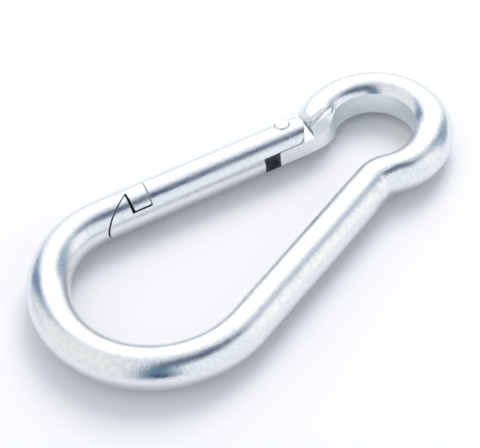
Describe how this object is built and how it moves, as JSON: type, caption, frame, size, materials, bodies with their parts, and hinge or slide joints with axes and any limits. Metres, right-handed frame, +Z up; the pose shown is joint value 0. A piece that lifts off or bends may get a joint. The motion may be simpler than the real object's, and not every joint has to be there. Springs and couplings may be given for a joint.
{
  "type": "spring snap hook",
  "caption": "Pear-shaped snap hook of bent round steel rod, with a sprung gate hinged on a rivet between a small eye and a large bow.",
  "frame": {"origin": "middle of the outline, on the plane the hook lies on", "axes": "+X from the large bow to the small eye, +Y towards the gate, +Z up, along the rivet"},
  "size_m": [0.1248, 0.0634, 0.0115],
  "materials": {
    "zinc_steel_rod": "bright zinc plate with fine lengthwise forming marks",
    "zinc_steel_gate": "bright zinc plate",
    "rivet_steel": "bright zinc plate, peened heads",
    "plunger_steel": "plain turned steel",
    "spring_steel": "plain drawn spring wire"
  },
  "bodies": {
    "body": {"hook_body": "zinc_steel_rod"},
    "gate": {"gate": "zinc_steel_gate", "hinge_rivet": "rivet_steel", "gate_spring": "spring_steel"},
    "plunger": {"plunger": "plunger_steel"}
  },
  "joints": [
    {"name": "gate_hinge", "type": "hinge", "parent": "body", "child": "gate", "pos_m": [0.0229, 0.01634, 0.00575], "axis": [0, 0, 1], "range_deg": [0, 40], "stiffness_Nm_per_rad": 0.13, "springref_deg": -4.58},
    {"name": "plunger_slide", "type": "slide", "parent": "gate", "child": "plunger", "axis": [-0.9789, 0.2045, 0], "range_m": [0, 0.0033], "deforming": ["gate_spring"]}
  ],
  "couplings": [
    {"joint": "plunger_slide", "follows": "gate_hinge", "m_per_rad": 0.00455}
  ]
}
